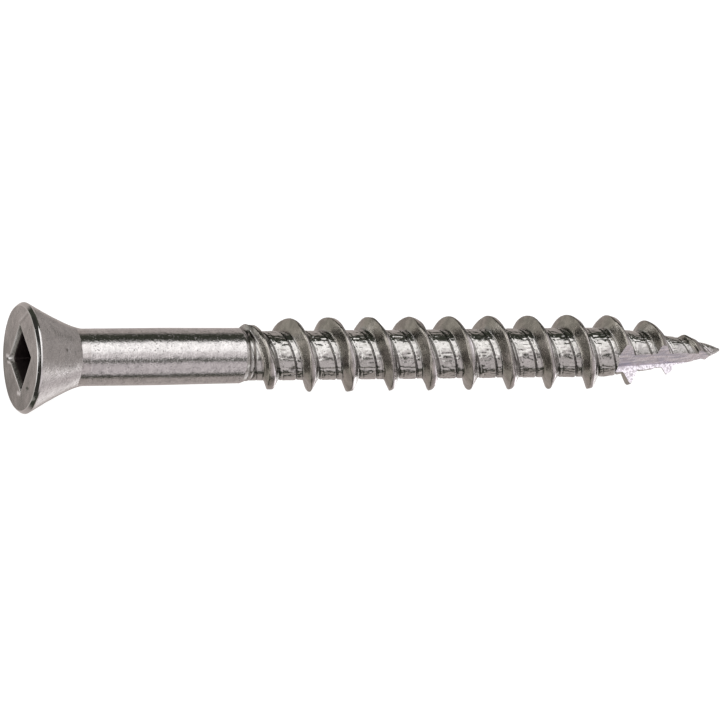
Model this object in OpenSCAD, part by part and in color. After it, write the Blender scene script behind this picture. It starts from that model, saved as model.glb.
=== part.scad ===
// Trim-head wood screw with a square drive socket, a smooth shank, a coarse single-start
// right-hand thread and a slash cut at its point.
// The screw lies along +X: the flat head face is at X = 0 and the tip points along +X. +Z is up.
// A real screw is one piece of cold-headed and thread-rolled wire. Its sections meet face to face.

/* [Overall] */
// Length from the flat head face to the tip
screw_length = 41.3; // [39:0.1:45]
// Turn of the socket, thread and slash cut about the axis
lie_angle = 15; // [0:1:90]

/* [Head] */
// Diameter at the rim, the widest place
head_d = 6.22; // [6.1:0.02:6.6]
// Diameter of the flat face inside the rim chamfer
face_d = 5.88; // [5:0.02:6]
// Length of the rim chamfer along the axis
rim_len = 0.24; // [0.1:0.02:0.4]
// Half angle of the cone under the rim
seat_angle = 29.4; // [28:0.1:30]
// Distance from the head face to the place where the cone starts to flare
flare_start = 0.56; // [0.45:0.01:0.8]
// Distance from the head face to the place towards which the flare curves
flare_pull = 2.84; // [2.7:0.02:2.9]
// Distance from the head face to the end of the flare
flare_end = 3.63; // [3.5:0.01:4]

/* [Socket] */
// Distance across the flats of the square drive socket
socket_flats = 2.31; // [2.2:0.01:2.4]
// Depth of the socket's straight walls
socket_depth = 1.7; // [1.2:0.1:1.9]
// Depth of the cone that the punch leaves in the socket's floor
socket_floor_depth = 0.35; // [0.1:0.05:0.4]
// Distance across the flats of the socket's bevelled mouth
mouth_flats = 2.69; // [2.5:0.01:2.8]
// Depth of the bevel round the mouth
mouth_depth = 0.2; // [0.1:0.02:0.3]

/* [Shank] */
// Diameter of the smooth shank just behind the head
shank_d = 3.18; // [3.1:0.01:3.2]
// Diameter of the shank at its far end
shank_end_d = 3.08; // [2.9:0.01:3.1]
// Distance from the head face to the far end of the shank's full diameter
shank_end = 12.75; // [11:0.05:15]
// Length of the step down from the shank to the thread's core
step_len = 0.5; // [0.2:0.05:0.6]

/* [Thread] */
// Outside diameter over the thread
thread_d = 4.1; // [3.9:0.05:4.4]
// Diameter of the core between the thread's turns
core_d = 2.78; // [2.6:0.02:2.8]
// Distance between neighbouring turns
pitch = 2.362; // [2.2:0.001:2.5]
// Width of the thread where it leaves the core
thread_root_w = 0.88; // [0.8:0.02:1]
// Width of the thread's flat crest
thread_crest_w = 0.2; // [0.15:0.01:0.3]
// Share of its full height at which the thread starts
rise_share = 0.4; // [0.1:0.05:0.6]
// Turns over which the thread rises to its full height
rise_turns = 1.1; // [0.5:0.1:2]

/* [Point] */
// Length of the tapered point
point_len = 7; // [6:0.1:8]
// Bluntness of the point, where 1 is a straight cone and less is rounder
point_bluntness = 0.58; // [0.5:0.01:0.8]
// Distance from the tip to the place where the thread starts to fade
fade_start = 5; // [4.5:0.1:5.5]
// Distance from the tip to the end of the thread
fade_end = 0.5; // [0.4:0.1:0.8]

/* [Slash cut] */
// Length of the slash cut, measured back from the tip
slash_len = 6.45; // [6:0.01:6.8]
// Distance of the cut's inner corner from the axis towards the open side, at its start
slash_side = 0.53; // [0.45:0.01:0.65]
// Distance of the cut's inner corner below the axis, at its start
slash_drop = 0.88; // [0.8:0.01:0.95]
// Angle at which the cut runs in towards the axis
slash_lean = 6.2; // [5.5:0.1:7]
// Angle at which the cut rises to the tip
slash_rise = 3; // [2:0.1:4]
// Angle of the cut's upper face above its open side
slash_upper_angle = 40; // [35:0.1:45]
// Angle of the cut's lower face below its open side
slash_lower_angle = 78.7; // [70:0.1:85]

/* [Hidden] */

round_fn = 96;
steel = [0.62, 0.60, 0.57];
bright_steel = [0.70, 0.68, 0.66];
dark_steel = [0.48, 0.46, 0.42];

// Head and neck
face_r = face_d / 2;
rim_r = head_d / 2;
shank_r = shank_d / 2;
seat_slope = tan(seat_angle);
flare_start_r = rim_r - (flare_start - rim_len) * seat_slope;
flare_pull_r = rim_r - (flare_pull - rim_len) * seat_slope;
flare_steps = 12;
// The head's section ends and the neck's starts at this step of the flare
neck_step = 5;
flare = [
    for (i = [0 : flare_steps])
        bezier(
            [flare_start, flare_start_r],
            [flare_pull, flare_pull_r],
            [flare_end, shank_r],
            i / flare_steps
        )
];
neck_start = flare[neck_step][0];
socket_over = 0.5;
// The mouth's bevel runs on past the face, so that the cut leaves no skin on it
mouth_over = 0.1;
mouth_slope = (mouth_flats - socket_flats) / 2 / mouth_depth;

// Core and thread
core_r = core_d / 2;
core_start = shank_end + step_len;
point_start = screw_length - point_len;
steps_per_turn = 36;
thread_h = thread_d / 2 - core_r;
least_h = 0.01;
thread_start = core_start + thread_root_w / 2;
// The point is cut and threaded from here on, and the thread's two sections meet here
thread_join = point_start;
// Chords between the thread's rings stay on or outside the core they wrap
chord_growth = 1 / cos(180 / steps_per_turn);
point_thread_end = screw_length - fade_end;
// Place along the axis where a turn of the thread passes the top
thread_top = 18.12;
full_turn = 360;

// Point
tip_r = 0.03;
point_steps = 14;

// Slash cut
slash_start = screw_length - slash_len;
slash_reach = 6;

// Point on a quadratic Bezier curve at t, from a through the pull of b to c
function bezier(a, b, c, t) = a * (1 - t) * (1 - t) + b * 2 * t * (1 - t) + c * t * t;

// Radius of the core at a place x along the screw
function core_radius(x) =
    x < point_start ? core_r
    : max(tip_r, core_r * pow(max(0, (screw_length - x) / point_len), point_bluntness));

// Height of the thread above the core at a place x along the screw
function thread_height(x) =
    let (
        turns = (x - thread_start) / pitch,
        rise = rise_share + (1 - rise_share) * turns / rise_turns,
        fade = (x - (screw_length - fade_start)) / (fade_start - fade_end),
        shape = fade > 0 ? (1 + cos(180 * min(1, fade))) / 2 : 1
    )
    max(least_h, thread_h * min(1, rise) * shape);

// Angle about the axis at which the thread passes a place x
function thread_angle(x) = 90 - lie_angle + full_turn * (x - thread_top) / pitch;

// A point at a place x along the screw, at radius r and angle a about the axis
function on_screw(x, r, a) = [x, r * cos(a), r * sin(a)];

// The four corners of the thread's section where its middle is at x
function thread_ring(x) =
    let (
        a = thread_angle(x),
        h = thread_height(x),
        share = h / thread_h,
        root = (thread_root_w - thread_crest_w) / 2 * share + thread_crest_w / 2,
        crest = thread_crest_w / 2,
        behind = core_radius(x - root) * chord_growth,
        ahead = core_radius(x + root) * chord_growth,
        top = core_radius(x) + h
    )
    [
        on_screw(x - root, behind, a),
        on_screw(x - crest, max(top, behind + least_h), a),
        on_screw(x + crest, max(top, ahead + least_h), a),
        on_screw(x + root, ahead, a)
    ];

// A ridge wound round the axis, with one ring of four corners at each step
module ridge(start, end) {
    steps = ceil((end - start) / pitch * steps_per_turn);
    corners = 4;
    rings = [for (i = [0 : steps]) each thread_ring(start + (end - start) * i / steps)];
    sides = [
        for (i = [0 : steps - 1], k = [0 : corners - 1])
            let (a = i * corners + k, b = i * corners + (k + 1) % corners)
            each [[a, b, b + corners], [a, b + corners, a + corners]]
    ];
    last = steps * corners;
    ends = [[0, 3, 2], [0, 2, 1], [last, last + 1, last + 2], [last, last + 2, last + 3]];
    polyhedron(rings, concat(sides, ends));
}

// A solid of revolution about the X axis from points of [place along the axis, radius]
module turned(profile) {
    rotate([0, 90, 0])
        rotate_extrude($fn = round_fn)
            polygon([for (p = profile) [p[1], p[0]]]);
}

// The prism that the slash cut takes away, turned with the thread. Its first face is square to the screw
module slash() {
    upper = [-sin(slash_upper_angle), -cos(slash_upper_angle)] * slash_reach;
    lower = [sin(slash_lower_angle), -cos(slash_lower_angle)] * slash_reach;
    corner = [slash_drop, -slash_side];
    intersection() {
        translate([slash_start, -slash_reach, -slash_reach])
            cube(slash_reach * 2);
        rotate([-lie_angle, 0, 0])
            translate([slash_start, 0, 0])
                rotate([0, -slash_rise, slash_lean])
                    rotate([0, 90, 0])
                        translate([0, 0, -slash_len])
                            linear_extrude(slash_len * 3)
                                polygon([
                                    corner,
                                    corner + upper,
                                    corner + upper + lower,
                                    corner + lower
                                ]);
    }
}

// Square drive socket: straight walls with a shallow cone in the floor, one corner upwards
module socket() {
    rotate([45 - lie_angle, 0, 0])
        translate([-socket_over, -socket_flats / 2, -socket_flats / 2])
            cube([socket_depth + socket_over, socket_flats, socket_flats]);
    rotate([-lie_angle, 0, 0])
        translate([-mouth_over, 0, 0])
            rotate([0, 90, 0])
                cylinder(
                    h = mouth_depth + mouth_over,
                    r1 = (mouth_flats / 2 + mouth_over * mouth_slope) * sqrt(2),
                    r2 = socket_flats / 2 * sqrt(2),
                    $fn = 4
                );
    translate([socket_depth, 0, 0])
        rotate([0, 90, 0])
            cylinder(h = socket_floor_depth, r1 = socket_flats / 2, r2 = 0, $fn = round_fn);
}

// Head: flat face, chamfered rim and the cone that seats in the wood
module head() {
    color(steel)
        difference() {
            turned(concat(
                [[0, 0], [0, face_r], [rim_len, rim_r]],
                [for (i = [0 : neck_step]) flare[i]],
                [[neck_start, 0]]
            ));
            socket();
        }
}

// Neck: the rest of the flare, from the head to the shank
module neck() {
    color(steel)
        turned(concat(
            [[neck_start, 0]],
            [for (i = [neck_step : flare_steps]) flare[i]],
            [[flare_end, 0]]
        ));
}

// Shank: the smooth part, which ends in a step down to the core
module shank() {
    color(bright_steel)
        turned([
            [flare_end, 0],
            [flare_end, shank_r],
            [shank_end, shank_end_d / 2],
            [core_start, core_r],
            [core_start, 0]
        ]);
}

// Core: the thinner wire inside the thread
module core() {
    color(bright_steel)
        turned([[core_start, 0], [core_start, core_r], [point_start, core_r], [point_start, 0]]);
}

// Thread: the ridge wound on the core
module thread() {
    color(dark_steel)
        ridge(thread_start, thread_join);
}

// Point: the rounded taper, opened on one side by the slash cut
module point() {
    taper = [
        for (i = [0 : point_steps])
            let (x = point_start + point_len * (1 - pow(1 - i / point_steps, 1 / point_bluntness)))
            [x, core_radius(x)]
    ];
    color(bright_steel)
        difference() {
            turned(concat([[point_start, 0]], taper, [[screw_length, 0]]));
            slash();
        }
}

// Point thread: the ridge on the taper, which fades to the tip and is opened by the slash cut
module point_thread() {
    color(dark_steel)
        difference() {
            ridge(thread_join, point_thread_end);
            slash();
        }
}

head();
neck();
shank();
core();
thread();
point();
point_thread();
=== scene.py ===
"""A stainless trim-head wood screw on a pale floor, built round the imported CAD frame.

The screw lies along +X with its head face at X = 0 and its tip at the far end. Every visible piece is a
closed mesh worked out here from the frame's boxes and a few named sizes, and replaces the plain CAD section
of the same place. Sizes are in metres.
"""

import math

import bpy
import numpy as np
from mathutils import Matrix, Vector


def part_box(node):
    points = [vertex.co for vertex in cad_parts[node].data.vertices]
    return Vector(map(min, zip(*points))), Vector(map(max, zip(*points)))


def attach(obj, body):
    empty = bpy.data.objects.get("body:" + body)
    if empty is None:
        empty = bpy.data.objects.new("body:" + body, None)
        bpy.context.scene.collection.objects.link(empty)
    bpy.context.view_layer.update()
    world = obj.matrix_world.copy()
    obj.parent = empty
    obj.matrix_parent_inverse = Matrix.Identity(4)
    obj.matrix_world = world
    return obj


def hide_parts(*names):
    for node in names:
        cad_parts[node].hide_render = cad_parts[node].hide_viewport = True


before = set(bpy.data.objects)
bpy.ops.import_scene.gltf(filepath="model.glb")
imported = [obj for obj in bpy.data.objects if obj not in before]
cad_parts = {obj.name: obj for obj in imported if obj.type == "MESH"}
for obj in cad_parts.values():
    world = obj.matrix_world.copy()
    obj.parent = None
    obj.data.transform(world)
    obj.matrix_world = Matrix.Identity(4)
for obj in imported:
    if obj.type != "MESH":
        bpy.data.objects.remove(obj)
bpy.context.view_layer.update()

MM = 0.001

# Places along the screw and radii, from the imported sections
HEAD_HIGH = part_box("head")[1]
NECK_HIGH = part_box("neck")[1]
CORE_LOW, CORE_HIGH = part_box("core")
TIP_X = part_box("point")[1].x
RIM_R = HEAD_HIGH.z
NECK_X = HEAD_HIGH.x
SHANK_X = NECK_HIGH.x
CORE_X = CORE_LOW.x
POINT_X = CORE_HIGH.x
CORE_R = CORE_HIGH.z

# Sizes that the boxes don't hold
LIE = math.radians(15)  # turn of the socket, thread and slash cut about the axis
FACE_R = 2.94 * MM
RIM_LEN = 0.24 * MM
SEAT_SLOPE = math.tan(math.radians(29.4))
FLARE_X = 0.56 * MM  # where the seat cone starts to flare
FLARE_PULL_X = 2.84 * MM  # where the flare's end lines cross
SHANK_R = 1.59 * MM
SHANK_END_R = 1.54 * MM
STEP_LEN = 0.5 * MM
SHANK_END_X = CORE_X - STEP_LEN
SOCKET_HALF = 2.31 * MM / 2
MOUTH_HALF = 2.69 * MM / 2
MOUTH_DEPTH = 0.2 * MM
SOCKET_DEPTH = 1.7 * MM
SOCKET_FLOOR = 0.35 * MM  # depth of the shallow cone below the walls
FLOOR_SHARE = 0.97  # of the socket's half width, which the floor's cone takes
CORNER_SHARPNESS = 60  # of the socket's corners: the larger, the less they are rounded
FACE_EDGE_BLEND = 0.045 * MM  # rounding of the face's edge
RIM_EDGE_BLEND = 0.075 * MM  # and of the rim's
FLARE_EDGE_X = 3.12 * MM  # where the flare ends early, on the side that is seen
PITCH = 2.362 * MM
THREAD_TOP_X = 18.12 * MM  # where a turn of the thread passes the top
THREAD_H = 0.655 * MM
ROOT_BACK = 0.39 * MM  # from the crest's middle to the root on the head's side
ROOT_FRONT = 0.47 * MM  # and on the tip's side
CREST_HALF = 0.09 * MM
CREST_BLEND_BACK = 0.04 * MM
CREST_BLEND_FRONT = 0.09 * MM
FRONT_LINE = 0.54 * MM  # lines that the rolling dies left on both sides of a turn, from the crest's middle
BACK_LINE = -0.80 * MM
PLATEAU_FRONT = 0.76 * MM  # the raised strip between two turns is full beyond these
PLATEAU_BACK = -0.86 * MM
COLLAR_X = CORE_X - 0.05 * MM  # the bead where the rolling die stopped, and the grooves on both sides of it
COLLAR_GROOVES = (CORE_X - 0.22 * MM, CORE_X + 0.10 * MM)
POINT_LEN = TIP_X - POINT_X
POINT_BLUNTNESS = 0.58
TIP_R = 0.02 * MM

# Directions about the axis, as the screw lies: towards a corner of the socket, and towards the side that is
# seen
UP = math.pi / 2 - LIE
NEAR = math.pi - LIE

SEGMENTS = 192  # round the head and shank
THREAD_SEGMENTS = 192  # round the thread


def smooth_max(a, b, k):
    """The larger of a and b, blended over a distance k."""
    h = np.clip(0.5 + 0.5 * (a - b) / k, 0, 1)
    return b * (1 - h) + a * h + k * h * (1 - h)


def smooth_min(a, b, k):
    """The smaller of a and b, blended over a distance k."""
    return -smooth_max(-a, -b, k)


def ramp(x, start, end):
    """0 before start, 1 after end and smooth between."""
    t = np.clip((x - start) / (end - start), 0, 1)
    return t * t * (3 - 2 * t)


def dip(x, middle, half):
    """A smooth bump of height 1 about middle, which is 0 beyond half on either side."""
    t = np.clip(np.abs(x - middle) / half, 0, 1)
    return (1 - t * t) ** 2


def ripple(seed, *places, waves=6):
    """A smooth random field of about -1 to 1 over the given coordinates, the same each run."""
    chance = np.random.default_rng(seed)
    total = np.zeros_like(places[0])
    for _ in range(waves):
        angle = chance.uniform(0, 2 * math.pi)
        for place in places:
            angle = angle + place * chance.uniform(1, 4) * chance.choice([-1, 1])
        total += np.sin(angle)
    return total / math.sqrt(waves)


# ---------------------------------------------------------------- mesh building


def make_mesh(name, points, faces, flat_faces=(), marks=None):
    """A smooth closed mesh whose flat_faces keep sharp borders. marks are numbers kept on its vertices."""
    mesh = bpy.data.meshes.new(name)
    mesh.from_pydata([tuple(p) for p in points], [], faces + list(flat_faces))
    mesh.validate()
    first_flat = len(faces)
    smooth = np.ones(len(mesh.polygons), bool)
    smooth[first_flat:] = False
    mesh.polygons.foreach_set("use_smooth", smooth)
    borders = {
        tuple(sorted(key)) for poly in list(mesh.polygons)[first_flat:] for key in poly.edge_keys
    }
    for edge in mesh.edges:
        if tuple(sorted(edge.vertices)) in borders:
            edge.use_edge_sharp = True
    for mark, values in (marks or {}).items():
        layer = mesh.attributes.new(mark, "FLOAT", "POINT")
        layer.data.foreach_set("value", np.asarray(values, np.float32))
    mesh.update()
    piece = bpy.data.objects.new(name, mesh)
    bpy.context.scene.collection.objects.link(piece)
    return piece


def round_angles(count):
    """A number of angles evenly round the axis."""
    return np.arange(count) * 2 * math.pi / count


def turned_point(x, r, angle):
    """Points at the given places along the axis, radii and angles."""
    return np.stack([x, r * np.cos(angle), r * np.sin(angle)], -1)


def ring_faces(rows, count):
    """Quads between neighbouring closed rings, with their fronts outwards for rings that run along +X."""
    faces = []
    for i in range(rows - 1):
        for j in range(count):
            a = i * count + j
            b = i * count + (j + 1) % count
            faces.append((a, b, b + count, a + count))
    return faces


# ---------------------------------------------------------------- head


def square_radius(angle, half):
    """Radius of a square with corners that are only slightly rounded, one of which points up."""
    turn = angle - (UP - math.pi / 4)
    c, s = np.abs(np.cos(turn)), np.abs(np.sin(turn))
    return half / (c**CORNER_SHARPNESS + s**CORNER_SHARPNESS) ** (1 / CORNER_SHARPNESS)


def off(angle, middle):
    """Signed difference between an angle and a middle direction."""
    return (angle - middle + math.pi) % (2 * math.pi) - math.pi


def arc_between(a, b, c, radius, steps):
    """Points that round the corner b of the path a, b, c, with a blend that starts radius away from b."""
    a, b, c = (np.array(p, float) for p in (a, b, c))
    start = b + (a - b) / np.linalg.norm(a - b) * radius
    end = b + (c - b) / np.linalg.norm(c - b) * radius
    t = np.linspace(0, 1, steps)[:, None]
    return start * (1 - t) ** 2 + b * 2 * t * (1 - t) + end * t**2


def bezier(a, b, c, t):
    """The curve from a to c that is pulled towards b."""
    return a * (1 - t) ** 2 + b * 2 * t * (1 - t) + c * t**2


def seat_line(x):
    """Radius of the straight seat cone."""
    return RIM_R - (x - RIM_LEN) * SEAT_SLOPE


def flare_radius(x):
    """Radius of the cone and the concave flare below the rim, down to the shank."""
    t = np.linspace(0, 1, 300)
    path_x = bezier(FLARE_X, FLARE_PULL_X, SHANK_X, t)
    path_r = bezier(seat_line(FLARE_X), seat_line(FLARE_PULL_X), SHANK_R, t)
    return np.where(np.asarray(x) < FLARE_X, seat_line(np.asarray(x)), np.interp(x, path_x, path_r))


# Dents in the face, as (towards the near side, up, radius, depth)
FACE_DENTS = (
    (1.13 * MM, -1.68 * MM, 0.08 * MM, 0.10 * MM),
    (-2.10 * MM, -0.07 * MM, 0.07 * MM, 0.06 * MM),
    (-1.95 * MM, 0.12 * MM, 0.07 * MM, 0.05 * MM),
)
# The dent in the cone, as (X, turn up from the near side, radius, depth)
CONE_DENT = (2.06 * MM, math.radians(10.7), 0.085 * MM, 0.04 * MM)
# Strokes of painted highlight and painted shade on the face, as (start, end, half width, strength). A point
# is (towards the near side, up)
FACE_HIGHLIGHT_STROKES = (
    ((-2.35 * MM, 0.16 * MM), (-1.40 * MM, 0.03 * MM), 0.09 * MM, 1.0),
    ((-2.20 * MM, -0.20 * MM), (-1.70 * MM, -0.26 * MM), 0.06 * MM, 1.0),
    ((-0.55 * MM, -1.92 * MM), (-0.15 * MM, -1.98 * MM), 0.10 * MM, 1.0),
    ((-0.10 * MM, 2.04 * MM), (1.30 * MM, 2.55 * MM), 0.06 * MM, 0.3),
)
# The dark strokes are painted shade in the face's dents and scratches
FACE_SHADE_STROKES = (
    ((-2.30 * MM, -0.02 * MM), (-1.80 * MM, -0.08 * MM), 0.06 * MM, 1.0),
    ((0.00 * MM, 1.88 * MM), (1.40 * MM, 2.40 * MM), 0.07 * MM, 0.4),
    ((0.95 * MM, -1.66 * MM), (1.30 * MM, -1.72 * MM), 0.08 * MM, 1.0),
)


def stroke_share(u, w, strokes):
    """1 on the given strokes and 0 off them."""
    share = np.zeros_like(u)
    for (u_from, w_from), (u_to, w_to), half, strength in strokes:
        run, rise = u_to - u_from, w_to - w_from
        t = np.clip(((u - u_from) * run + (w - w_from) * rise) / (run**2 + rise**2), 0, 1)
        gap = np.hypot(u - u_from - t * run, w - w_from - t * rise)
        share = np.maximum(share, strength * dip(gap, 0, 2 * half))
    return share


class HeadRings:
    """The head's rings in order, each with the marks that its steel reads."""

    def __init__(self):
        self.angle = round_angles(SEGMENTS)
        self.rings = []
        self.marks = {"hole": [], "polish": [], "bright": [], "dirt": []}

    def add(self, x, r, hole=0.0, polish=0.0, bright=0.0, dirt=0.0):
        x, r = (np.broadcast_to(np.asarray(value, float), SEGMENTS) for value in (x, r))
        self.rings.append(turned_point(x, r, self.angle))
        for values, value in zip(self.marks.values(), (hole, polish, bright, dirt)):
            values.append(np.broadcast_to(np.asarray(value, float), SEGMENTS))


def mouth_burr(angle):
    """1 at the corner away from the near side, where a driver bit has slipped, and 0 elsewhere."""
    return dip(off(angle, NEAR + math.pi), 0, 0.16)


def mouth_radius(angle):
    """Edge of the socket's bevelled mouth, pushed out at the burred corner and chipped at the bottom one."""
    chip = dip(off(angle, UP + math.pi), 0, 0.12)
    return square_radius(angle, MOUTH_HALF) + 0.14 * MM * mouth_burr(angle) + 0.06 * MM * chip


def mouth_far_low(angle):
    """1 on the mouth's lower side away from the near side, and 0 on the others."""
    return dip(off(angle, UP - 0.75 * math.pi), 0, 0.9)


def mouth_edge_shine(angle):
    """Strength of the painted highlight on the mouth's edge, most of all on its far lower side."""
    return 0.3 + 0.7 * mouth_far_low(angle)


def face_edge():
    """Points (x, r) that round the face over to the rim chamfer."""
    return arc_between((0, FACE_R / 2), (0, FACE_R), (RIM_LEN, RIM_R), FACE_EDGE_BLEND, 8)


def rim_edge():
    """Points (x, r) that round the rim chamfer over to the cone."""
    cone_end = (NECK_X, seat_line(NECK_X))
    return arc_between((0, FACE_R), (RIM_LEN, RIM_R), cone_end, RIM_EDGE_BLEND, 10)


def add_socket(head):
    """The socket's floor and walls, from the bottom up."""
    # The socket is painted near black all the way down: painted shade in the recess
    for share in (0.02, 0.35, 0.7, 1.0):
        head.add(SOCKET_DEPTH + SOCKET_FLOOR * (1 - share), SOCKET_HALF * FLOOR_SHARE * share, hole=1.0)
    wall = square_radius(head.angle, SOCKET_HALF)
    for depth in np.linspace(SOCKET_DEPTH, MOUTH_DEPTH, 16):
        head.add(depth, wall, hole=1.0)


def add_mouth(head):
    """The bevelled mouth, rounded over where it meets the face."""
    wall, mouth = square_radius(head.angle, SOCKET_HALF), mouth_radius(head.angle)
    burr, far_low = mouth_burr(head.angle), mouth_far_low(head.angle)
    far_high = dip(off(head.angle, UP - 0.25 * math.pi), 0, 0.8)
    top_corner = dip(off(head.angle, UP), 0, 0.4)
    edge_shine = mouth_edge_shine(head.angle)
    # Painted shade where the walls meet the bevel
    head.add(MOUTH_DEPTH - 0.01 * MM, wall + 0.01 * MM, dirt=0.8)
    for share in np.linspace(0, 1, 9)[1:-1]:
        # Painted shade on the bevel, deepest down and at its top corner; painted highlights on its far upper
        # side and on the burr
        shade = (1 - share) ** 0.5 * (0.55 + 0.35 * far_low)
        head.add(
            MOUTH_DEPTH * (1 - share) + 0.05 * MM * burr * math.sin(share * math.pi),
            wall + (mouth - wall) * share,
            bright=far_high * dip(share, 0.75, 0.35) * (1 - top_corner) * 0.8 + burr * 0.8,
            dirt=np.maximum(shade, 0.95 * (1 - share**4) * top_corner),
        )
    # A painted highlight along the mouth's edge, strongest on its far lower side
    head.add(0.016 * MM, mouth, bright=edge_shine)
    head.add(0.004 * MM, mouth + 0.012 * MM, bright=edge_shine)


def add_face(head):
    """The dented, scratched face, painted with highlights and shade, from the socket's mouth to its rounded
    edge.
    """
    angle = head.angle
    inner = mouth_radius(angle) + 0.03 * MM
    outer = face_edge()[0][1]
    for share in np.linspace(0, 1, 40):
        r = inner + (outer - inner) * share
        along = math.sin(share * math.pi)
        y, z = r * np.cos(angle), r * np.sin(angle)
        u, w = r * np.cos(angle - NEAR), r * np.cos(angle - UP)
        dents = ripple(3, y / MM, z / MM) + 0.6 * ripple(4, y / MM * 3, z / MM * 3)
        lift = 0.006 * MM + 0.014 * MM * along + 0.003 * MM * along * dents
        for dent_u, dent_w, size, depth in FACE_DENTS:
            lift = lift + depth * np.exp(-((u - dent_u) ** 2 + (w - dent_w) ** 2) / size**2)
        # Painted highlights and painted shade along the strokes
        bright, dirt = stroke_share(u, w, FACE_HIGHLIGHT_STROKES), stroke_share(u, w, FACE_SHADE_STROKES)
        # Painted shade, darker towards the far side and the bottom, and with the dents
        face_shade_slope = 0.34 - 0.15 * u / FACE_R - 0.22 * w / FACE_R + 0.10 * dents
        dirt = np.maximum(dirt, np.clip(face_shade_slope, 0.0, 0.6) * min(1.0, 12 * share) * (1 - bright))
        # The face's inner edge also takes the mouth's painted edge highlight
        if share == 0:
            bright = np.maximum(bright, 0.6 * mouth_edge_shine(angle))
        head.add(np.maximum(lift, 0), r, bright=bright, dirt=dirt)


def add_rim(head):
    """The slightly uneven rim chamfer between its two rounded edges, with painted shade on the chamfer
    itself.
    """
    uneven = 0.010 * MM * ripple(5, np.cos(head.angle) * 3, np.sin(head.angle) * 3)
    # A dark band of painted shade, standing in for a dark reflection, covers the chamfer between its rounded
    # edges
    for i, (x, r) in enumerate(face_edge()[1:]):
        head.add(x, r + uneven * 0.4, polish=1.0, dirt=0.95 * (i > 4))
    *rounding, (end_x, end_r) = rim_edge()
    for i, (x, r) in enumerate(rounding):
        head.add(x + 0.6 * uneven, r, polish=1.0, dirt=0.95 * (i < 4))
    head.add(end_x + 0.6 * uneven, end_r)


def add_cone(head):
    """The cone below the rim, with its dent, painted shade in the dent and fine painted glints."""
    angle = head.angle
    dent_x, turn, size, depth = CONE_DENT
    for x in np.linspace(rim_edge()[-1][0] + 0.02 * MM, NECK_X, 40)[1:]:
        radius = float(flare_radius(x))
        fade = math.sin(math.pi * (x - RIM_LEN) / (NECK_X - RIM_LEN))
        waver = ripple(8, np.full(SEGMENTS, x / MM * 3), np.cos(angle) * 4, np.sin(angle) * 4)
        around = off(angle, NEAR - turn) * radius
        hollow = np.exp(-(around**2 + (x - dent_x) ** 2) / size**2)
        # Painted glints in a narrow band just below the near side, from about 1 mm along
        glint = ramp(ripple(9, np.full(SEGMENTS, x / MM * 9), angle * 30), 0.5, 1.2)
        glint = glint * dip(off(angle, NEAR + math.radians(21)), 0, 0.13) * ramp(x, 1.0 * MM, 1.3 * MM)
        # The dent is also painted darker: painted shade
        head.add(x, radius + 0.003 * MM * fade * waver - depth * hollow, bright=glint, dirt=hollow)


def head_piece():
    """The head: socket with its bevelled mouth, face, rim chamfer and the cone that seats in the wood."""
    head = HeadRings()
    for add_part in (add_socket, add_mouth, add_face, add_rim, add_cone):
        add_part(head)
    points = np.concatenate(head.rings)
    faces = ring_faces(len(head.rings), SEGMENTS)
    # The socket's floor centre and the hidden cap against the neck
    centre = len(points)
    points = np.vstack([points, [SOCKET_DEPTH + SOCKET_FLOOR, 0, 0]])
    faces += [(centre, (j + 1) % SEGMENTS, j) for j in range(SEGMENTS)]
    last = (len(head.rings) - 1) * SEGMENTS
    cap = [tuple(last + j for j in range(SEGMENTS))]
    marks = {
        mark: np.append(np.concatenate(values), float(mark == "hole"))
        for mark, values in head.marks.items()
    }
    return make_mesh("head_form", points, faces, cap, marks)


# ---------------------------------------------------------------- neck and shank


def tube_piece(name, places, radii, marks=None):
    """A closed tube from rings at the given places, with hidden flat caps. radii has one row per place."""
    angle = round_angles(SEGMENTS)
    rings = [
        turned_point(np.full(SEGMENTS, x), np.broadcast_to(r, SEGMENTS), angle)
        for x, r in zip(places, radii)
    ]
    points = np.concatenate(rings)
    last = (len(rings) - 1) * SEGMENTS
    caps = [
        tuple(reversed(range(SEGMENTS))),
        tuple(last + j for j in range(SEGMENTS)),
    ]
    return make_mesh(name, points, ring_faces(len(rings), SEGMENTS), caps, marks)


def neck_piece():
    """The rest of the flare, from the head to the shank. On the near side it ends early, at an edge."""
    angle = round_angles(SEGMENTS)
    places = np.linspace(NECK_X, SHANK_X, 110)
    start_r = float(flare_radius(NECK_X))
    first_slope = float(flare_radius(NECK_X) - flare_radius(NECK_X + 0.01 * MM)) / (0.01 * MM)
    reach = FLARE_EDGE_X - NECK_X
    fall = (start_r - SHANK_R - first_slope * reach) / reach**2
    near = ramp(np.cos(off(angle, NEAR)), 0.0, 0.55)
    radii = []
    for x in places:
        past = x - NECK_X
        edged = start_r - first_slope * past - fall * past**2
        flared = near * edged + (1 - near) * float(flare_radius(x))
        radii.append(smooth_max(flared, np.full(SEGMENTS, SHANK_R), 0.012 * MM))
    radii[-1] = np.full(SEGMENTS, SHANK_R)
    drawn = 1 - ramp(np.array(radii) - SHANK_R, 0.004 * MM, 0.05 * MM)
    return tube_piece("neck_form", places, radii, {"drawn": drawn.ravel()})


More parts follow.
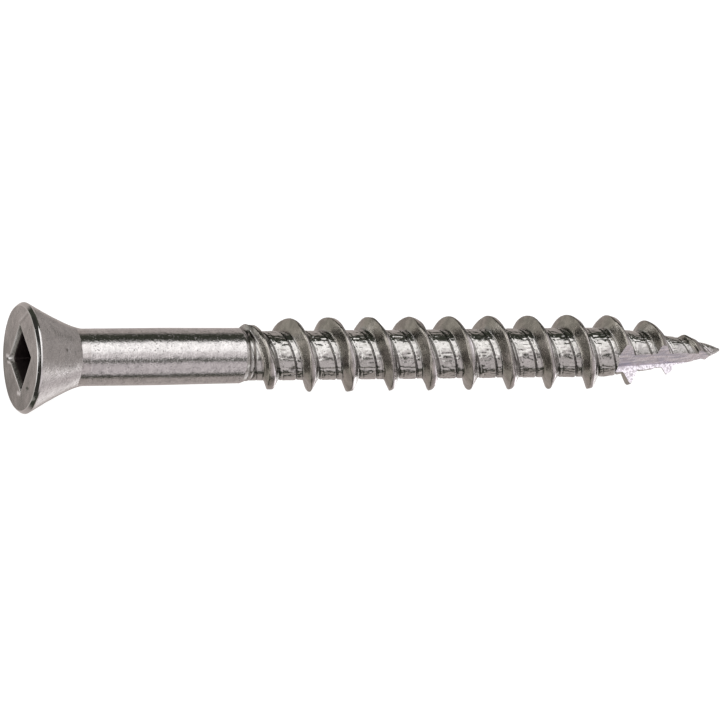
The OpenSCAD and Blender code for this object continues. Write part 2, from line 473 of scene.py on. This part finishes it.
def shank_piece():
    """The smooth shank, very slightly tapered and uneven as drawn wire is."""
    angle = round_angles(SEGMENTS)
    places = np.linspace(SHANK_X, SHANK_END_X, 150)
    radii = []
    for x in places:
        share = (x - SHANK_X) / (SHANK_END_X - SHANK_X)
        base = SHANK_R + (SHANK_END_R - SHANK_R) * float(ramp(share, 0.4, 1.0))
        along = np.full(SEGMENTS, x / MM)
        waver = ripple(21, along * 0.6, np.cos(angle) * 1.2, np.sin(angle) * 1.2)
        dents = ripple(22, along * 2.0, np.cos(angle) * 5, np.sin(angle) * 5, waves=10)
        fade = min(1.0, 8 * share, 8 * (1 - share))
        radii.append(base + MM * fade * (0.0018 * waver + 0.0006 * dents))
    return tube_piece("shank_form", places, radii)


# ---------------------------------------------------------------- thread and point


def core_radius(x):
    """Radius of the thread's core, which tapers over the point."""
    share = np.clip((TIP_X - x) / POINT_LEN, 0, 1)
    return np.maximum(TIP_R, CORE_R * share**POINT_BLUNTNESS)


def thread_place(x, angle):
    """Signed distance along the axis from (x, angle) to the middle of the nearest turn of the thread."""
    turns = (x - THREAD_TOP_X) / PITCH - (angle - UP) / (2 * math.pi)
    return (turns - np.round(turns)) * PITCH


def thread_rise(x):
    """Share of the thread's full height at x: it climbs out of the shank's step and fades towards the tip."""
    climb = 0.48 + 0.52 * ramp(x, CORE_X, CORE_X + 2.5 * MM)
    fade = 1 - ramp(x, TIP_X - 5.0 * MM, TIP_X - 1.3 * MM) * 0.82
    gone = 1 - ramp(x, TIP_X - 1.3 * MM, TIP_X - 0.4 * MM)
    return climb * fade * gone


def valley_marks(x, angle, w):
    """Height of what the rolling dies left between the turns: lines along the thread and dashes across."""
    turn = (x - w) / PITCH
    jitter = 0.4 * ripple(41, turn * 9.0)
    dash = (turn * 19 + jitter) % 1.0
    row = (turn * 11 + 2 * jitter) % 1.0
    deep = 0.6 + 0.4 * np.sin(turn * 19 * 1.7 + 2 * jitter)
    climb = 0.06 * MM
    plateau = np.maximum(
        ramp(w, PLATEAU_FRONT - climb, PLATEAU_FRONT), 1 - ramp(w, PLATEAU_BACK, PLATEAU_BACK + climb)
    )
    edge = PLATEAU_FRONT + 0.03 * MM * ripple(43, turn * 20)
    return (
        -0.050 * dip(w, FRONT_LINE, 0.07 * MM)
        - 0.050 * dip(w, BACK_LINE, 0.08 * MM)
        - 0.020 * dip(w, edge, 0.05 * MM)
        + 0.014 * plateau
        - 0.032 * deep * plateau * dip(dash, 0.5, 0.17)
        - 0.020 * dip(row, 0.5, 0.2) * (1 - plateau) * ramp(np.abs(w), 0.58 * MM, 0.66 * MM)
        + 0.007 * ripple(37, x / MM * 2.4, np.cos(angle) * 2.5, np.sin(angle) * 2.5)
        + 0.006 * ripple(38, x / MM * 6, np.cos(angle) * 9, np.sin(angle) * 9, waves=10)
    ) * MM


# A pit in the core between the first turns, as (X, angle, radius, depth)
CORE_PIT = (15.55 * MM, NEAR + math.radians(35.7), 0.13 * MM, 0.05 * MM)


def core_pit(x, angle):
    """1 in the middle of the pit in the core, fading to 0 round it."""
    pit_x, turn, size, _ = CORE_PIT
    return np.exp(-((x - pit_x) ** 2 + (off(angle, turn) * CORE_R) ** 2) / size**2)


def valley_radius(x, angle, w):
    """Radius between the turns, where the dies left marks, a pit and a core slightly off centre."""
    core = core_radius(x)
    size = np.minimum(1, core / CORE_R + 0.15)
    floor = core * (1 - 0.022 * np.cos(off(angle, UP))) - 0.022 * CORE_R
    floor = floor + valley_marks(x, angle, w) * size * ramp(x, CORE_X + 0.2 * MM, CORE_X + 1.2 * MM)
    return floor - CORE_PIT[-1] * core_pit(x, angle)


def ridge_radius(x, angle, w):
    """Radius of the ridge, with its slightly uneven width and crest."""
    rise = thread_rise(x)
    widen = 0.06 * MM * ripple(31, x / MM * 1.1, np.cos(angle), np.sin(angle))
    root = np.where(w < 0, ROOT_BACK, ROOT_FRONT)
    flank = (root * (0.6 + 0.4 * rise) + widen - np.abs(w)) * THREAD_H / (root - CREST_HALF)
    rough_top = ripple(33, x / MM * 2.1, np.cos(angle) * 2, np.sin(angle) * 2)
    top = THREAD_H * rise - 0.16 * w + 0.010 * MM * rough_top
    return core_radius(x) + smooth_min(flank, top, np.where(w > 0, CREST_BLEND_FRONT, CREST_BLEND_BACK))


def screw_radius(x, angle):
    """Radius of the threaded section's skin at (x, angle), with its rolled details."""
    w = thread_place(x, angle)
    fillet = np.where(w > 0, 0.04 * MM, 0.09 * MM) * thread_rise(x) + 0.01 * MM
    skin = smooth_max(valley_radius(x, angle, w), ridge_radius(x, angle, w), fillet)
    # The shank's end: a chamfer, then a small bead where the rolling die stopped
    chamfer = SHANK_END_R - (x - SHANK_END_X) / STEP_LEN * (SHANK_END_R - CORE_R + 0.02 * MM)
    collar = dip(x, COLLAR_X, 0.10 * MM)
    groove = dip(x, COLLAR_GROOVES[0], 0.08 * MM) + dip(x, COLLAR_GROOVES[1], 0.07 * MM)
    groove = groove * (1 - ramp(np.cos(angle - UP), 0.6, 0.9))
    skin = smooth_max(skin, np.where(x < CORE_X + 0.3 * MM, chamfer, 0), 0.02 * MM)
    skin = skin + MM * (0.035 * collar - 0.03 * groove)
    start = ramp(x, SHANK_END_X, SHANK_END_X + 0.04 * MM)
    return SHANK_END_R * (1 - start) + skin * start


def thread_marks(x, angle):
    """The thread's marks: painted shade on the flank and in the grooves, painted crest tone and edge
    highlight.
    """
    w = thread_place(x, angle)
    high = ramp(np.cos(angle - UP), 0.25, 0.6)
    full = ramp(x, CORE_X, CORE_X + 1.5 * MM)
    tip = ramp(x, TIP_X - 3.6 * MM, TIP_X - 2.9 * MM)
    past_collar = ramp(x, CORE_X - 0.1 * MM, CORE_X + 0.6 * MM)
    # Painted shade in the roots, die lines, pit and collar grooves, along the top's front edge and on the
    # last turns
    grooves = [
        0.8 * dip(w, 0.37 * MM, 0.11 * MM) * full * (1 - tip),
        0.8 * dip(w, 0.18 * MM, 0.10 * MM) * high,
        core_pit(x, angle),
        dip(w, FRONT_LINE, 0.07 * MM),
        dip(w, BACK_LINE, 0.08 * MM),
        0.8 * dip(w, -0.46 * MM, 0.06 * MM),
        dip(x, COLLAR_GROOVES[0], 0.09 * MM),
        dip(x, COLLAR_GROOVES[1], 0.09 * MM),
        dip(w, 0.22 * MM, 0.17 * MM) * tip,
    ]
    # Painted highlight on each turn's front edge below the top, and beside the last turns' dark line
    painted_edge_highlight = dip(w, 0.17 * MM, 0.10 * MM) * (1 - high) * full
    return {
        # The flank is rougher, and its darker olive colour is painted shade
        "flank": ramp(w, -0.46 * MM, -0.36 * MM) * (1 - ramp(w, 0.10 * MM, 0.16 * MM)) * past_collar,
        # A lighter lilac tone on the crest: a painted reflection
        "crest": dip(w, 0.04 * MM, 0.10 * MM) * full,
        "edge": np.maximum(painted_edge_highlight, dip(w, 0.52 * MM, 0.17 * MM) * tip),
        "groove": np.maximum.reduce(grooves),
    }


# Where the rows of the helical grid lie about the middle of a turn, in millimetres, as (first, last, rows):
# close together on the ridge and the marks
ROW_RUNS = (
    (-1.17, -0.954, 5),
    (-0.88, -0.72, 8),
    (-0.66, -0.46, 5),
    (-0.42, -0.14, 7),
    (-0.11, 0.11, 7),
    (0.15, 0.39, 6),
    (0.44, 0.60, 8),
    (0.65, 0.84, 7),
    (0.92, 1.10, 3),
)
ROW_PLACES = np.concatenate([np.linspace(*run) for run in ROW_RUNS]) * MM


def helical_skin(name, x_from, x_to, closed_tip):
    """A closed mesh from x_from to x_to whose rows follow the thread. Rows past an end stop on its ring."""
    count = THREAD_SEGMENTS
    rows_per_turn = len(ROW_PLACES)
    first_turn = math.floor((x_from - THREAD_TOP_X) / PITCH) - 2
    last_turn = math.ceil((x_to - THREAD_TOP_X) / PITCH) + 2
    row_x = np.concatenate(
        [THREAD_TOP_X + turn * PITCH + ROW_PLACES for turn in range(first_turn, last_turn)]
    )
    share = np.arange(count) / count
    angle = UP + share * 2 * math.pi
    snap = 0.012 * MM
    grid_x = row_x[:, None] + share[None, :] * PITCH
    before, after = grid_x < x_from + snap, grid_x > x_to - snap
    inside = ~(before | after)
    # The two end rings come first, then the grid's own points
    number = np.full(grid_x.shape, -1)
    number[inside] = np.arange(inside.sum()) + 2 * count
    column = np.broadcast_to(np.arange(count), grid_x.shape)
    number[before] = column[before]
    number[after] = column[after] + count
    angles = np.broadcast_to(angle, grid_x.shape)
    xs = np.concatenate([np.full(count, x_from), np.full(count, x_to), grid_x[inside]])
    turns = np.concatenate([angle, angle, angles[inside]])
    points = turned_point(xs, screw_radius(xs, turns), turns)
    faces = []
    for i in range(len(row_x) - 1):
        for j in range(count):
            over = i + rows_per_turn if j == count - 1 else i
            if over + 1 >= len(row_x):
                continue
            k = (j + 1) % count
            corners = [number[i, j], number[over, k], number[over + 1, k], number[i + 1, j]]
            ring = list(dict.fromkeys(int(corner) for corner in corners))
            on_end = all(c < count for c in ring) or all(count <= c < 2 * count for c in ring)
            if len(ring) > 2 and not on_end:
                faces.append(tuple(ring))
    caps = [tuple(reversed(range(count)))]
    if closed_tip:
        tip = len(points)
        points = np.vstack([points, [x_to + TIP_R * 0.6, 0, 0]])
        faces += [(count + j, count + (j + 1) % count, tip) for j in range(count)]
        xs, turns = np.append(xs, x_to), np.append(turns, 0)
    else:
        caps.append(tuple(count + j for j in range(count)))
    return make_mesh(name, points, faces, caps, thread_marks(xs, turns))


# Slash cut: the prism that the cutter takes away, leaning in towards the axis
SLASH_LEN = 6.45 * MM
SLASH_CORNER = (0.53 * MM, -0.88 * MM)  # towards the open side, and up
SLASH_LEAN = math.radians(6.2)
SLASH_RISE = math.radians(3.0)
SLASH_UPPER = math.radians(40)
SLASH_LOWER = math.radians(78.7)


def slash_cutter():
    """The prism that the cut takes away. It starts square to the screw and leans in as it runs to the tip."""
    reach = 6 * MM
    side, up = SLASH_CORNER
    corner = np.array([side, up])
    upper = np.array([math.cos(SLASH_UPPER), math.sin(SLASH_UPPER)]) * reach
    lower = np.array([math.cos(SLASH_LOWER), -math.sin(SLASH_LOWER)]) * reach
    outline = [corner, corner + upper, corner + upper + lower, corner + lower]
    points = []
    for x in (0, 2 * SLASH_LEN):
        for out, height in outline:
            across = -out + x * math.tan(SLASH_LEAN)
            high = height + x * math.tan(SLASH_RISE)
            points.append(Matrix.Rotation(-LIE, 3, "X") @ Vector((TIP_X - SLASH_LEN + x, across, high)))
    faces = [(3, 2, 1, 0), (4, 5, 6, 7)] + [
        (k, (k + 1) % 4, 4 + (k + 1) % 4, 4 + k) for k in range(4)
    ]
    return make_mesh("slash_cutter", points, [], faces)


def point_piece():
    """The tapered point with its fading thread, opened by the slash cut, whose faces are marked."""
    piece = helical_skin("point_form", POINT_X, TIP_X - TIP_R * 0.6, True)
    cutter = slash_cutter()
    # Helper materials carry the cutter's faces through the cut
    helpers = [bpy.data.materials.new(name) for name in ("rolled", "upper_cut", "lower_cut")]
    for each in (piece, cutter):
        for helper in helpers:
            each.data.materials.append(helper)
    cutter.data.polygons.foreach_set("material_index", [1, 1, 1, 1, 1, 2])
    cut = piece.modifiers.new("slash", "BOOLEAN")
    cut.object = cutter
    cut.operation = "DIFFERENCE"
    cut.solver = "EXACT"
    graph = bpy.context.evaluated_depsgraph_get()
    made = bpy.data.meshes.new_from_object(piece.evaluated_get(graph))
    piece.modifiers.clear()
    piece.data = made
    bpy.data.objects.remove(cutter)
    side = np.array([poly.material_index for poly in made.polygons])
    for mark, found in (("cut", side > 0), ("lower_cut", side == 2)):
        made.attributes.new(mark, "FLOAT", "FACE").data.foreach_set("value", found.astype(float))
    made.polygons.foreach_set("material_index", [0] * len(made.polygons))
    made.materials.clear()
    for helper in helpers:
        bpy.data.materials.remove(helper)
    return piece


# ---------------------------------------------------------------- materials


def node(tree, kind, **settings):
    """A new shader node with the given settings."""
    made = tree.nodes.new(kind)
    for name, value in settings.items():
        setattr(made, name, value)
    return made


# Colours of the steel
HEAD_STEEL = (0.56, 0.54, 0.525)
SHANK_STEEL = (0.58, 0.565, 0.555)
ROLLED_STEEL = (0.54, 0.53, 0.51)
# Painted shade of the flanks
SHADED_FLANK_STEEL = (0.37, 0.345, 0.305)
# Painted reflection tone of the crests
CREST_REFLECTION_STEEL = (0.47, 0.44, 0.45)
# Painted highlight on the thread's edges
EDGE_HIGHLIGHT_STEEL = (0.93, 0.90, 0.92)
# Painted shade in the thread's grooves and creases
GROOVE_SHADE_STEEL = (0.08, 0.075, 0.07)
FILMED_STEEL = (0.26, 0.265, 0.22)
# Painted shade of the socket
SOCKET_SHADE_STEEL = (0.11, 0.09, 0.088)
# Painted highlights on the mouth, the burr, the face's strokes and the cone
HIGHLIGHT_STEEL = (0.95, 0.93, 0.94)
# Painted shade on the mouth, in the face's dents and scratches, on the rim chamfer and in the cone's dent
PAINTED_SHADE_STEEL = (0.07, 0.07, 0.055)
POLISHED_STEEL = (0.66, 0.65, 0.64)
# The slash cut's upper face, as (ridges, furrows, spots), and its lower face, as (clean, gritty)
UPPER_CUT_STEEL = ((0.90, 0.87, 0.92), (0.58, 0.58, 0.66), (0.62, 0.57, 0.60))
LOWER_CUT_STEEL = ((0.76, 0.73, 0.78), (0.46, 0.43, 0.46))


def shaded(share, colour):
    """A darker shade of a colour."""
    return tuple(share * c for c in colour)


class Steel:
    """Cold-formed stainless steel with mottled colour, uneven gloss, fine grain, scratches and pits."""

    def __init__(self, name, colour, roughness, grain=1.0):
        self.material = bpy.data.materials.new(name)
        self.material.use_nodes = True
        self.tree = self.material.node_tree
        self.link = self.tree.links.new
        self.grain = grain
        place = node(self.tree, "ShaderNodeTexCoord")
        scale = node(self.tree, "ShaderNodeMapping")
        scale.inputs["Scale"].default_value = (1 / MM, 1 / MM, 1 / MM)
        self.link(place.outputs["Object"], scale.inputs["Vector"])
        self.place = scale.outputs["Vector"]
        self.mottle = self.noise(2.2)
        self.patches = self.noise(5.5, 3.0)
        self.speck = self.noise(9.0, 2.0)
        grit = self.noise(16.0, 2.0)
        base = self.mixed(self.remap(self.mottle, 0.35, 0.68, 0.0, 1.0), colour, shaded(0.82, colour))
        for pattern, low, high, strength, shade in (
            (self.patches, 0.50, 0.68, 0.55 * grain, 0.62),
            (grit, 0.52, 0.66, 0.5 * grain, 0.55),
            (self.speck, 0.66, 0.72, 0.8, 0.22),
        ):
            base = self.mixed(self.remap(pattern, low, high, 0.0, strength), base, shaded(shade, colour))
        self.colour = base
        self.rough = self.remap(self.mottle, 0.3, 0.7, roughness * 0.75, roughness * 1.3)
        self.bump_share = 1.0

    def noise(self, size, detail=4.0, stretch=None):
        """A noise pattern. The smaller an axis's stretch, the longer the pattern is drawn out along it."""
        source = self.place
        if stretch:
            squeeze = node(self.tree, "ShaderNodeMapping")
            squeeze.inputs["Scale"].default_value = stretch
            self.link(source, squeeze.inputs["Vector"])
            source = squeeze.outputs["Vector"]
        made = node(self.tree, "ShaderNodeTexNoise")
        made.inputs["Scale"].default_value = size
        made.inputs["Detail"].default_value = detail
        self.link(source, made.inputs["Vector"])
        return made.outputs["Fac"]

    def feed(self, socket, value):
        """Sets a socket to a number or a colour, or links it to an output."""
        if isinstance(value, tuple):
            socket.default_value = (*value, 1.0)
        elif isinstance(value, (int, float)):
            socket.default_value = value
        else:
            self.link(value, socket)

    def maths(self, operation, a, b):
        made = node(self.tree, "ShaderNodeMath", operation=operation)
        self.feed(made.inputs[0], a)
        self.feed(made.inputs[1], b)
        return made.outputs[0]

    def remap(self, value, low, high, to_low, to_high):
        made = node(self.tree, "ShaderNodeMapRange")
        labels = ("Value", "From Min", "From Max", "To Min", "To Max")
        for label, number in zip(labels, (value, low, high, to_low, to_high)):
            self.feed(made.inputs[label], number)
        return made.outputs["Result"]

    def mixed(self, share, a, b):
        made = node(self.tree, "ShaderNodeMix", data_type="RGBA")
        for label, value in (("Factor", share), ("A", a), ("B", b)):
            self.feed(made.inputs[label], value)
        return made.outputs["Result"]

    def mark(self, label):
        """A number that the mesh carries at each place."""
        return node(self.tree, "ShaderNodeAttribute", attribute_name=label).outputs["Fac"]

    def tint(self, label, strength, colour):
        """Goes over to a colour where the mesh carries a mark."""
        self.colour = self.mixed(self.maths("MULTIPLY", self.mark(label), strength), self.colour, colour)

    def roughen(self, label, amount):
        """Adds to the roughness where the mesh carries a mark."""
        self.rough = self.maths("ADD", self.rough, self.maths("MULTIPLY", self.mark(label), amount))

    def finished(self):
        """Joins colour, roughness and bump to the shader and returns the material."""
        shader = self.tree.nodes["Principled BSDF"]
        shader.inputs["Metallic"].default_value = 1.0
        self.link(self.colour, shader.inputs["Base Color"])
        self.link(self.maths("MAXIMUM", self.rough, 0.04), shader.inputs["Roughness"])
        pits = self.remap(self.speck, 0.66, 0.72, 0.0, 1.0)
        height = self.maths("MULTIPLY", self.noise(14.0, 3.0, (1.0, 0.08, 0.08)), 0.6)
        for pattern, share in ((self.noise(24.0, 5.0), 0.5), (self.patches, 1.2), (pits, -1.0)):
            height = self.maths("ADD", height, self.maths("MULTIPLY", pattern, share))
        height = self.maths("MULTIPLY", height, self.bump_share)
        bump = node(self.tree, "ShaderNodeBump")
        bump.inputs["Strength"].default_value = 0.55 * self.grain
        bump.inputs["Distance"].default_value = 0.02 * MM
        self.link(height, bump.inputs["Height"])
        self.link(bump.outputs["Normal"], shader.inputs["Normal"])
        return self.material


def head_steel():
    """Head steel: painted shade in the socket, painted highlights and shade on the face, polished on the rim.
    """
    steel = Steel("head_steel", HEAD_STEEL, 0.22, grain=0.9)
    # Painted shade in the socket, painted highlights, and painted shade on the mouth, face, rim chamfer and
    # cone
    steel.tint("hole", 1.0, SOCKET_SHADE_STEEL)
    steel.tint("bright", 0.9, HIGHLIGHT_STEEL)
    steel.tint("dirt", 1.0, PAINTED_SHADE_STEEL)
    steel.tint("polish", 0.8, POLISHED_STEEL)
    steel.roughen("hole", 0.25)
    steel.roughen("bright", 0.25)
    steel.roughen("polish", -0.16)
    steel.bump_share = steel.maths("SUBTRACT", 1.0, steel.maths("MULTIPLY", steel.mark("polish"), 0.8))
    return steel.finished()


def neck_steel():
    """Steel of the neck, which grows as smooth as the shank where it ends."""
    steel = Steel("neck_steel", HEAD_STEEL, 0.22, grain=0.9)
    steel.roughen("drawn", -0.09)
    return steel.finished()


def shank_steel():
    """Plain steel of the drawn shank."""
    return Steel("shank_steel", SHANK_STEEL, 0.10).finished()


def rolled_steel(name):
    """Thread steel: painted shade on flanks and grooves, painted highlights on edges, an olive film in
    patches.
    """
    steel = Steel(name, ROLLED_STEEL, 0.10, grain=0.75)
    mottled = steel.remap(steel.mottle, 0.42, 0.58, 0.0, 1.0)
    # Painted shade on the flanks, which are also rougher
    steel.tint("flank", 0.9, steel.mixed(mottled, SHADED_FLANK_STEEL, shaded(0.72, SHADED_FLANK_STEEL)))
    # Painted reflection tone on the crests
    steel.tint("crest", 0.8, CREST_REFLECTION_STEEL)
    # Painted highlights on the edges
    steel.tint("edge", 1.0, EDGE_HIGHLIGHT_STEEL)
    # Painted shade in the grooves
    steel.tint("groove", 0.85, GROOVE_SHADE_STEEL)
    film = steel.remap(steel.patches, 0.48, 0.64, 0.0, 0.25)
    steel.colour = steel.mixed(film, steel.colour, FILMED_STEEL)
    steel.roughen("flank", 0.16)
    return steel


def point_steel():
    """Steel of the point. The slash cut has feed marks on its upper face and grit on its lower one."""
    steel = rolled_steel("point_steel")
    ridge, furrow, spot = UPPER_CUT_STEEL
    feed_marks = steel.noise(7.0, 3.0, (0.10, 1.0, 1.0))
    upper = steel.mixed(steel.remap(feed_marks, 0.42, 0.60, 0.0, 1.0), ridge, furrow)
    upper = steel.mixed(steel.remap(steel.patches, 0.52, 0.62, 0.0, 0.5), upper, spot)
    lower = steel.mixed(steel.remap(steel.speck, 0.42, 0.60, 0.0, 1.0), *LOWER_CUT_STEEL)
    steel.tint("cut", 1.0, steel.mixed(steel.mark("lower_cut"), upper, lower))
    steel.roughen("cut", 0.12)
    return steel.finished()


# ---------------------------------------------------------------- the pieces

for piece, stands_for, slot, material in (
    (head_piece(), ["head"], "steel_head", head_steel()),
    (neck_piece(), ["neck"], "steel_head", neck_steel()),
    (shank_piece(), ["shank"], "steel_shank", shank_steel()),
    (
        helical_skin("threaded_form", SHANK_END_X, POINT_X, False),
        ["core", "thread"],
        "steel_core",
        rolled_steel("thread_steel").finished(),
    ),
    (point_piece(), ["point", "point_thread"], "steel_core", point_steel()),
):
    piece.data.materials.append(material)
    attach(piece, "root")
    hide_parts(*stands_for)


# ---------------------------------------------------------------- floor, light and camera

VIEW_TURN = math.radians(-20.5)
VIEW_RISE = math.radians(14)
FRAME_WIDTH = 39.97 * MM  # width of the picture at the screw's middle
LENS = 900.0
SENSOR = 36.0
AXIS_TILT = math.radians(0.65)  # the tip stands this much higher than the head in the picture
AIM_RIGHT = 0.677 * MM  # how far the screw's middle lies right of the picture's, and above it
AIM_UP = 0.328 * MM
FLOOR_HALF = 6.0
FLOOR_GAP = 0.01 * MM  # between the rim and the floor


def make_camera():
    """A long lens from the side and slightly above, rolled so that the screw lies almost level."""
    toward = Vector(
        (
            math.sin(VIEW_TURN) * math.cos(VIEW_RISE),
            -math.cos(VIEW_TURN) * math.cos(VIEW_RISE),
            math.sin(VIEW_RISE),
        )
    )
    right = Vector((math.cos(VIEW_TURN), math.sin(VIEW_TURN), 0))
    up = toward.cross(right)
    axis = Vector((1, 0, 0))
    roll = math.atan2(axis.dot(up), axis.dot(right)) - AXIS_TILT
    right, up = (
        right * math.cos(roll) + up * math.sin(roll),
        up * math.cos(roll) - right * math.sin(roll),
    )
    middle = Vector((TIP_X / 2, 0, 0))
    distance = FRAME_WIDTH * LENS / SENSOR
    place = middle - right * AIM_RIGHT - up * AIM_UP + toward * distance
    data = bpy.data.cameras.new("camera")
    data.lens = LENS
    data.sensor_width = SENSOR
    data.clip_start = 0.01
    data.clip_end = 100
    camera = bpy.data.objects.new("camera", data)
    turn = Matrix((right, up, toward)).transposed().to_4x4()
    camera.matrix_world = Matrix.Translation(place) @ turn
    bpy.context.scene.collection.objects.link(camera)
    bpy.context.scene.camera = camera


def make_floor():
    """A plain white floor that the steel doesn't reflect."""
    z = -RIM_R - FLOOR_GAP
    corners = [(x * FLOOR_HALF, y * FLOOR_HALF, z) for x, y in ((-1, -1), (1, -1), (1, 1), (-1, 1))]
    mesh = bpy.data.meshes.new("floor")
    mesh.from_pydata(corners, [], [(0, 1, 2, 3)])
    floor = bpy.data.objects.new("floor", mesh)
    bpy.context.scene.collection.objects.link(floor)
    material = bpy.data.materials.new("floor_paint")
    material.use_nodes = True
    shader = material.node_tree.nodes["Principled BSDF"]
    shader.inputs["Base Color"].default_value = (0.30, 0.30, 0.30, 1)
    shader.inputs["Roughness"].default_value = 1.0
    shader.inputs["Specular IOR Level"].default_value = 0.0
    shader.inputs["Emission Color"].default_value = (1, 1, 1, 1)
    shader.inputs["Emission Strength"].default_value = 0.92
    mesh.materials.append(material)
    floor.visible_glossy = False


# The studio round the screw: bands of light that run along it, as (angle about the axis from the camera's
# side in degrees, colour). The angle grows upwards, so 90 is overhead and -90 is straight below. Colours
# over 1 are lamps.
WARM_GREY = (0.60, 0.54, 0.52)
CARD_GREY = (0.51, 0.475, 0.465)
LILAC_GREY = (0.86, 0.80, 0.82)
OLIVE_GREY = (0.62, 0.60, 0.57)
PALE = (0.90, 0.84, 0.86)
CREST_LIGHT = (1.1, 1.06, 1.09)
SOFTBOX_RIM = (1.3, 1.25, 1.26)
LOW_SOFTBOX = (1.5, 1.45, 1.45)
DARK = (0.065, 0.07, 0.055)
BLACK = (0.05, 0.05, 0.045)
SOFTBOX = (1.8, 1.77, 1.78)
LEFT_CAP = ((-180, SOFTBOX), (180, SOFTBOX))
LEFT_EDGE = (
    (-180, OLIVE_GREY),
    (-125, OLIVE_GREY),
    (-100, SOFTBOX),
    (100, SOFTBOX),
    (125, OLIVE_GREY),
    (180, OLIVE_GREY),
)
LEFT_BANDS = (
    (-180, OLIVE_GREY),
    (-104, OLIVE_GREY),
    (-98, BLACK),
    (105, BLACK),
    (125, OLIVE_GREY),
    (180, OLIVE_GREY),
)
NEAR_BANDS = (
    (-180, WARM_GREY),
    (-135, WARM_GREY),
    (-120, DARK),
    (-80, DARK),
    (-60, LILAC_GREY),
    (-22, PALE),
    (-12, SOFTBOX),
    (60, SOFTBOX),
    (68, DARK),
    (122, DARK),
    (135, WARM_GREY),
    (180, WARM_GREY),
)
MIDDLE_BANDS = (
    (-180, WARM_GREY),
    (-98, WARM_GREY),
    (-90, DARK),
    (-80, DARK),
    (-72, LILAC_GREY),
    (-27, LILAC_GREY),
    (-22, DARK),
    (-12, DARK),
    (-5, LILAC_GREY),
    (18, SOFTBOX_RIM),
    (24, SOFTBOX),
    (58, SOFTBOX),
    (65, DARK),
    (103, DARK),
    (112, WARM_GREY),
    (180, WARM_GREY),
)
SHOULDER_BANDS = (
    (-180, SOFTBOX),
    (-150, LOW_SOFTBOX),
    (-110, PALE),
    (-90, WARM_GREY),
    (-82, DARK),
    (-72, LILAC_GREY),
    (-27, LILAC_GREY),
    (-12, CREST_LIGHT),
    (60, CREST_LIGHT),
    (68, DARK),
    (92, DARK),
    (104, CARD_GREY),
    (140, CARD_GREY),
    (158, DARK),
    (169, DARK),
    (175, SOFTBOX),
    (180, SOFTBOX),
)
RIGHT_BANDS = (
    (-180, SOFTBOX),
    (-160, PALE),
    (-84, PALE),
    (-76, SOFTBOX),
    (-68, SOFTBOX),
    (-60, CARD_GREY),
    (150, CARD_GREY),
    (165, SOFTBOX),
    (180, SOFTBOX),
)
# The rows of bands from the head's end to the tip's, as (where a row starts, where it is full, bands). The
# places are the X of the direction from the screw, from -1 to 1.
STUDIO_ROWS = (
    (-0.98, -0.96, LEFT_EDGE),
    (-0.86, -0.78, LEFT_BANDS),
    (-0.50, -0.44, NEAR_BANDS),
    (0.12, 0.26, MIDDLE_BANDS),
    (0.50, 0.62, SHOULDER_BANDS),
    (0.78, 0.85, RIGHT_BANDS),
)


def fill_ramp(ramp_node, stops):
    """Sets a colour ramp's stops, as (angle in degrees, colour)."""
    elements = ramp_node.color_ramp.elements
    while len(elements) < len(stops):
        elements.new(0.5)
    for element, (angle, colour) in zip(elements, stops):
        element.position = (angle + 180) / 360
        element.color = (*colour, 1)


def make_studio():
    """The world light: rows of bands along the screw, blended from its head's end to its tip's."""
    world = bpy.data.worlds.new("studio")
    bpy.context.scene.world = world
    world.use_nodes = True
    tree = world.node_tree
    link = tree.links.new
    direction = node(tree, "ShaderNodeTexCoord")
    turn = node(tree, "ShaderNodeVectorRotate", rotation_type="X_AXIS")
    view_angle = math.atan2(math.sin(VIEW_RISE), math.cos(VIEW_TURN) * math.cos(VIEW_RISE))
    turn.inputs["Angle"].default_value = view_angle
    link(direction.outputs["Generated"], turn.inputs["Vector"])
    split = node(tree, "ShaderNodeSeparateXYZ")
    link(turn.outputs["Vector"], split.inputs["Vector"])
    toward = node(tree, "ShaderNodeMath", operation="MULTIPLY")
    toward.inputs[1].default_value = -1
    link(split.outputs["Y"], toward.inputs[0])
    around = node(tree, "ShaderNodeMath", operation="ARCTAN2")
    link(split.outputs["Z"], around.inputs[0])
    link(toward.outputs[0], around.inputs[1])
    share = node(tree, "ShaderNodeMapRange")
    link(around.outputs[0], share.inputs["Value"])
    share.inputs["From Min"].default_value = -math.pi
    share.inputs["From Max"].default_value = math.pi

    def bands(stops):
        """The colour of one row of bands."""
        made = node(tree, "ShaderNodeValToRGB")
        fill_ramp(made, stops)
        link(share.outputs["Result"], made.inputs["Fac"])
        return made.outputs["Color"]

    def blend_along(start, end, a, b):
        """Colour a where X is at start, going over to b where it is at end."""
        amount = node(tree, "ShaderNodeMapRange", interpolation_type="SMOOTHSTEP")
        link(split.outputs["X"], amount.inputs["Value"])
        amount.inputs["From Min"].default_value = start
        amount.inputs["From Max"].default_value = end
        mix = node(tree, "ShaderNodeMix", data_type="RGBA")
        link(amount.outputs["Result"], mix.inputs["Factor"])
        link(a, mix.inputs["A"])
        link(b, mix.inputs["B"])
        return mix.outputs["Result"]

    colour = bands(LEFT_CAP)
    for start, full, row in STUDIO_ROWS:
        colour = blend_along(start, full, colour, bands(row))
    link(colour, tree.nodes["Background"].inputs["Color"])


make_camera()
make_floor()
make_studio()
bpy.context.scene.view_settings.view_transform = "Standard"
